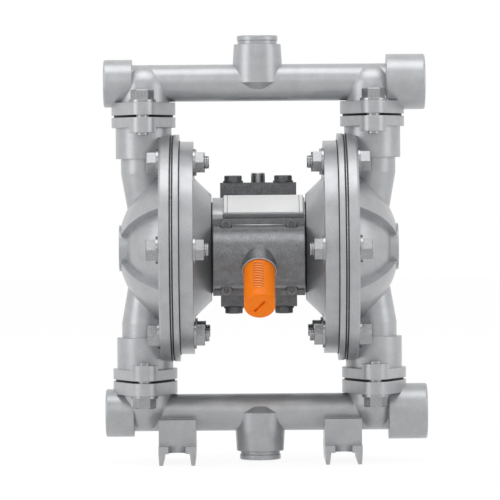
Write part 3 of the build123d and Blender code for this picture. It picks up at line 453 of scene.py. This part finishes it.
plateLook = {
    "light": "#ffffff",
    "dark": "#f8f8f8",
    "patch": 14,
    "grit": 0.6,
    "gritHeight": 0.02,
    "relief": 0.2,
    "roughness": (0.3, 0.38),
    "metallic": 0.0,
    "edge": 0.25,
    "lineFromEnd": 2.2,
    "lineWidth": 0.45,
    "lineColour": "#8d8f92",
}


def makePlateEnamel(look):
    # White stoving enamel on thin aluminium: bright, even, a little glossy, with a grey line near each end
    material, tree, shader, _ = makeFinish("plateEnamel", look)
    low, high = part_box("name_plate")
    place = addNode(tree, "ShaderNodeTexCoord").outputs["Object"]
    across = addNode(tree, "ShaderNodeSeparateXYZ", {"Vector": place}).outputs["X"]
    middle = (low.x + high.x) / 2
    fromMiddle = addNode(tree, "ShaderNodeMath", {0: across, 1: middle}, operation="SUBTRACT")
    distance = addNode(tree, "ShaderNodeMath", {0: fromMiddle.outputs[0]}, operation="ABSOLUTE")
    lineAt = (high.x - low.x) / 2 - look["lineFromEnd"] * mm
    onLine = addNode(
        tree,
        "ShaderNodeMath",
        {0: distance.outputs[0], 1: lineAt, 2: look["lineWidth"] / 2 * mm},
        operation="COMPARE",
    )
    old = shader.inputs["Base Color"].links[0].from_socket
    printed = addNode(
        tree,
        "ShaderNodeMix",
        {"Factor": onLine.outputs[0]},
        data_type="RGBA",
    )
    tree.links.new(old, printed.inputs[6])
    printed.inputs[7].default_value = linear(look["lineColour"])
    tree.links.new(printed.outputs[2], shader.inputs["Base Color"])
    return material


plateEnamel = makePlateEnamel(plateLook)

finishBySlot = {
    "cast_aluminium": castAluminium,
    "grey_casting": greyCasting,
    "zinc_steel": zincSteel,
    "bright_steel": groundSteel,
    "black_rubber": nitrileRubber,
    "orange_plastic": orangePolyethylene,
    "white_plate": plateEnamel,
    "fibre_gasket": gasketFibre,
    "white_plastic": acetal,
    "bronze": tinBronze,
    "spring_steel": groundSteel,
}
finishByNode = {
    "cover_screws": greyCasting,  # painted over with the cover
    "cap_bolts": blackenedSteel,
    "block_screws": blackenedSteel,
}
for part in frame["record"]["subparts"]:
    node = part["node"]
    finish = finishByNode.get(node, finishBySlot[part["material_slot"]])
    frame["nodes"][node].material_slots[0].material = finish
print("finishes on:", len(frame["nodes"]), "nodes")


flank = 0.42  # half the width of a thread's foot, in pitches
runOut = 4  # the ridge is full height after a quarter turn


def addRidge(mesh, origin, axis, look):
    # one screw thread: a three-sided ridge wound round the axis, run out at both ends
    axis = Vector(axis).normalized()
    side = axis.orthogonal().normalized()
    other = axis.cross(side)
    perTurn = look.get("perTurn", 24)
    count = int(look["turns"] * perTurn)
    rows = []
    for step in range(count + 1):
        angle = 2 * math.pi * step / perTurn
        run = min(step, count - step) / perTurn * runOut
        height = look["height"] * min(1, max(0.05, run)) * look.get("direction", 1)
        along = look["pitch"] * step / perTurn
        outward = side * math.cos(angle) + other * math.sin(angle)
        row = []
        for radius, offset in ((0, -flank), (height, 0), (0, flank)):
            place = outward * (look["radius"] + radius) + axis * (along + offset * look["pitch"])
            row.append(mesh.verts.new(origin + place * mm))
        rows.append(row)
    for first, second in zip(rows, rows[1:]):
        for k in range(3):
            mesh.faces.new((first[k], first[(k + 1) % 3], second[(k + 1) % 3], second[k]))
    mesh.faces.new(rows[0][::-1])
    mesh.faces.new(rows[-1])


def finishPiece(name, mesh, material, body="housing"):
    bmesh.ops.recalc_face_normals(mesh, faces=mesh.faces)
    data = bpy.data.meshes.new(name)
    mesh.to_mesh(data)
    mesh.free()
    data.materials.append(material)
    piece = bpy.data.objects.new(name, data)
    bpy.context.scene.collection.objects.link(piece)
    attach(piece, body)
    return piece


# Rolled threads on the ends of the chamber bolts, beyond their nuts
boltThread = {
    "circle": 64,
    "perRing": 6,
    "radius": 3.95,
    "height": 0.3,
    "pitch": 1.25,
    "length": 3.0,
    "start": 0.6,
    "shortBy": 0.9,
}


def makeBoltThreads(look):
    mesh = bmesh.new()
    boltLook = {**look, "turns": (look["length"] - look["shortBy"]) / look["pitch"]}
    innerX = min(abs(v.co.x) for v in frame["nodes"]["chamber_bolts"].data.vertices)
    for side in (-1, 1):
        for k in range(look["perRing"]):
            angle = 2 * math.pi * k / look["perRing"]
            place = Vector(
                (
                    side * (innerX + look["start"] * mm),
                    look["circle"] * math.cos(angle) * mm,
                    shaftHeight + look["circle"] * math.sin(angle) * mm,
                )
            )
            addRidge(mesh, place, (side, 0, 0), boltLook)
    return finishPiece("boltThreads", mesh, zincSteel)


makeBoltThreads(boltThread)


# Tapped pipe threads in the open ports and the air inlet
liquidPort = {"pitch": 1.814, "height": 0.9, "finish": (castAluminium, "cast_aluminium")}
airPort = {"pitch": 1.337, "height": 0.7, "finish": (greyCasting, "grey_casting")}
portThreads = {
    "suctionThread": {"mount": "suction_port", **liquidPort},
    "dischargeThread": {"mount": "discharge_port", **liquidPort},
    "airThread": {"mount": "air_inlet", **airPort},
}
sunkBy = 0.05  # how far the ridge starts inside the wall of the hole
mounts = {mount["name"]: mount for mount in frame["record"]["mounts"]}


def makePortThread(name, look):
    mount = mounts[look["mount"]]
    axis = Vector(mount["axis"])
    length = mount["dims"]["length_mm"] - 2 * look["pitch"]
    start = Vector(mount["pos_m"]) - axis * length / 2 * mm
    mesh = bmesh.new()
    ridge = {
        "radius": mount["dims"]["r_mm"] + sunkBy,
        "height": look["height"],
        "pitch": look["pitch"],
        "turns": length / look["pitch"],
        "perTurn": 40,
        "direction": -1,
    }
    addRidge(mesh, start, axis, ridge)
    material, slot = look["finish"]
    finishPiece(name, mesh, material)


for name, look in portThreads.items():
    makePortThread(name, look)
print("threads cut")


# Breathing slots of the silencer: moulded bars across a strip on its upper side
silencerLook = {
    "tilt": 39,
    "rimY": -50.0,
    "rimZ": -14.2,
    "rimRadius": 10.2,
    "tipRadius": 9.85,
    "length": 34.2,
    "barCount": 11,
    "firstBar": 3.0,
    "barPitch": 2.4,
    "barWidth": 1.3,
    "barHeight": 0.5,
    "stripHeight": 0.1,
    "stripWidth": 6.6,
    "lean": 0.5,
    "turn": 0.06,
    "sunkBy": 0.15,
    "topWidth": 0.36,
    "fadeFrom": 0.9,
    "endHeight": 0.05,
    "collarRadius": 10.75,
    "collarRound": 0.55,
    "collarPoints": 64,
}


def makeSilencerBars(look):
    tilt = math.radians(look["tilt"])
    out = Vector((0, -math.cos(tilt), -math.sin(tilt)))
    up = Vector((0, -math.sin(tilt), math.cos(tilt)))
    right = Vector((1, 0, 0))
    rim = Vector((0, look["rimY"] * mm, shaftHeight + look["rimZ"] * mm))

    def addBar(mesh, along, width, height):
        # a low bar bent round the barrel, a little askew
        steps = 10
        top = look["topWidth"]
        foot = -look["sunkBy"]
        rows = []
        for step in range(steps + 1):
            share = 2 * step / steps - 1
            row = []
            for rise, offset in ((foot, -0.5), (height, -top), (height, top), (foot, 0.5)):
                place = along + look["lean"] * share + offset * width
                taper = (look["tipRadius"] - look["rimRadius"]) * place / look["length"]
                rise = rise if abs(share) < look["fadeFrom"] else min(rise, look["endHeight"])
                reach = look["rimRadius"] + taper + rise
                angle = share * look["stripWidth"] / 2 / look["rimRadius"] - look["turn"]
                outward = right * math.sin(angle) + up * math.cos(angle)
                row.append(mesh.verts.new(rim + (out * place + outward * reach) * mm))
            rows.append(row)
        for first, second in zip(rows, rows[1:]):
            for j in range(4):
                mesh.faces.new((first[j], first[(j + 1) % 4], second[(j + 1) % 4], second[j]))
        mesh.faces.new(rows[0][::-1])
        mesh.faces.new(rows[-1])

    bars = bmesh.new()
    for k in range(look["barCount"]):
        addBar(bars, look["firstBar"] + k * look["barPitch"], look["barWidth"], look["barHeight"])
    # the bars in the paler orange: painted highlight
    finishPiece("silencerBars", bars, paintedHighlightOrange)
    strip = bmesh.new()
    reach = (look["barCount"] - 1) * look["barPitch"]
    addBar(strip, look["firstBar"] + reach / 2, reach + 2 * look["barWidth"], look["stripHeight"])
    # the strip in the darker orange: painted shade between the bars
    finishPiece("silencerStrip", strip, paintedShadeOrange)


makeSilencerBars(silencerLook)


def makeRound(name, path, radius, closed, material, slot):
    # a round bead along a path of points
    mesh = bmesh.new()
    sides = 10
    rows = []
    count = len(path)
    for i, point in enumerate(path):
        ahead = path[(i + 1) % count] if closed or i + 1 < count else point
        behind = path[i - 1] if closed or i else point
        along = (ahead - behind).normalized()
        side = side - along * side.dot(along) if rows else along.orthogonal()
        side = side.normalized()
        other = along.cross(side)
        row = []
        for k in range(sides):
            turn = 2 * math.pi * k / sides
            row.append(mesh.verts.new(point + (side * math.cos(turn) + other * math.sin(turn)) * radius))
        rows.append(row)
    pairs = list(zip(rows, rows[1:])) + ([(rows[-1], rows[0])] if closed else [])
    for first, second in pairs:
        for k in range(sides):
            mesh.faces.new((first[k], first[(k + 1) % sides], second[(k + 1) % sides], second[k]))
    if not closed:
        mesh.faces.new(rows[0][::-1])
        mesh.faces.new(rows[-1])
    for face in mesh.faces:
        face.smooth = True
    finishPiece(name, mesh, material)


def makeBossCollar(look):
    # the lip of the boss, ringed in the lighter cast aluminium colour as a painted highlight
    tilt = math.radians(look["tilt"])
    up = Vector((0, -math.sin(tilt), math.cos(tilt)))
    rim = Vector((0, look["rimY"] * mm, shaftHeight + look["rimZ"] * mm))
    path = []
    points = look["collarPoints"]
    for k in range(points):
        turn = 2 * math.pi * k / points
        outward = Vector((1, 0, 0)) * math.cos(turn) + up * math.sin(turn)
        path.append(rim + outward * look["collarRadius"] * mm)
    makeRound("bossCollar", path, look["collarRound"] * mm, True, castAluminium, "cast_aluminium")


makeBossCollar(silencerLook)
print("silencer dressed")

# Fine lines round each chamber: a zinc coloured line along the middle of the diaphragm's black edge, a
# painted highlight, and a black rubber line at the step behind the lip, a painted shadow
jointLines = {
    # zinc coloured line: painted highlight along the middle of the diaphragm's edge
    "EdgeHighlight": {
        "radius": 73.1,
        "fromMiddle": 55.9,
        "round": 0.4,
        "finish": (zincSteel, "zinc_steel"),
    },
    # black rubber line: painted shadow at the step behind the lip
    "LipShadow": {
        "radius": 69.15,
        "fromMiddle": 51.0,
        "round": 0.5,
        "finish": (nitrileRubber, "black_rubber"),
    },
}
jointPoints = 144


def makeJointLine(name, side, look):
    circle = []
    for k in range(jointPoints):
        turn = 2 * math.pi * k / jointPoints
        y = look["radius"] * math.cos(turn) * mm
        z = look["radius"] * math.sin(turn) * mm
        circle.append(Vector((side * look["fromMiddle"] * mm, y, shaftHeight + z)))
    makeRound(name, circle, look["round"] * mm, True, *look["finish"])


for lineName, look in jointLines.items():
    makeJointLine("left" + lineName, -1, look)
    makeJointLine("right" + lineName, 1, look)
print("joint lines laid")

# Cast beads along the cover, where its bulge meets the flange
coverBead = {
    "levels": (14.7, -26.2),
    "faceY": -28.8,
    "halfLength": 28.6,
    "round": 0.75,
}

for number, level in enumerate(coverBead["levels"]):
    ends = [
        Vector((side * coverBead["halfLength"] * mm, coverBead["faceY"] * mm, shaftHeight + level * mm))
        for side in (-1, 1)
    ]
    # the upper bead is painted in the lighter cast aluminium colour, a painted highlight along the top edge
    # of the bulge; the lower one keeps the cover's grey
    metal, slot = ((castAluminium, "cast_aluminium"), (greyCasting, "grey_casting"))[number]
    makeRound(f"coverBead{number}", ends, coverBead["round"] * mm, False, metal, slot)
print("cover beads cast")

# Each diaphragm is cut in slices like a cake, and each slice is closed and made a piece of its own.
diaphragmSlices = {
    "count": 6,
    "bendStart": 26.2,
    "bendEnd": 42.0,
}


weldDistance = 0.01 * mm


def closedCopy(nodeName):
    # the solid's own mesh, with the seams between its faces welded
    mesh = bmesh.new()
    mesh.from_mesh(frame["nodes"][nodeName].data)
    mesh.transform(frame["nodes"][nodeName].matrix_world)
    bmesh.ops.remove_doubles(mesh, verts=mesh.verts, dist=weldDistance)
    return mesh


def sliceDiaphragm(nodeName, pieceName, look):
    axisPoint = Vector((0, 0, shaftHeight))
    step = 2 * math.pi / look["count"]
    for k in range(look["count"]):
        mesh = closedCopy(nodeName)
        for turn, side in ((k * step - step / 2, 1), (k * step + step / 2, -1)):
            across = Vector((0, -math.sin(turn), math.cos(turn))) * side
            bmesh.ops.bisect_plane(
                mesh,
                geom=mesh.verts[:] + mesh.edges[:] + mesh.faces[:],
                plane_co=axisPoint,
                plane_no=across,
                clear_inner=True,
            )
        bmesh.ops.holes_fill(mesh, edges=[edge for edge in mesh.edges if edge.is_boundary], sides=0)
        bmesh.ops.triangulate(mesh, faces=[face for face in mesh.faces if len(face.verts) > 4])
        bmesh.ops.recalc_face_normals(mesh, faces=mesh.faces)
        name = f"{pieceName}{k}"
        data = bpy.data.meshes.new(name)
        mesh.to_mesh(data)
        mesh.free()
        data.materials.append(nitrileRubber)
        piece = bpy.data.objects.new(name, data)
        bpy.context.scene.collection.objects.link(piece)
        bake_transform(piece)
        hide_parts(nodeName)


sliceDiaphragm("left_diaphragm", "leftDiaphragm", diaphragmSlices)
sliceDiaphragm("right_diaphragm", "rightDiaphragm", diaphragmSlices)
print("diaphragms sliced")


def makeButtonSpring():
    piece = finishPiece("pressedSpring", closedCopy("button_spring"), groundSteel)
    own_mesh(piece)
    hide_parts("button_spring")


makeButtonSpring()
print("button spring fitted")
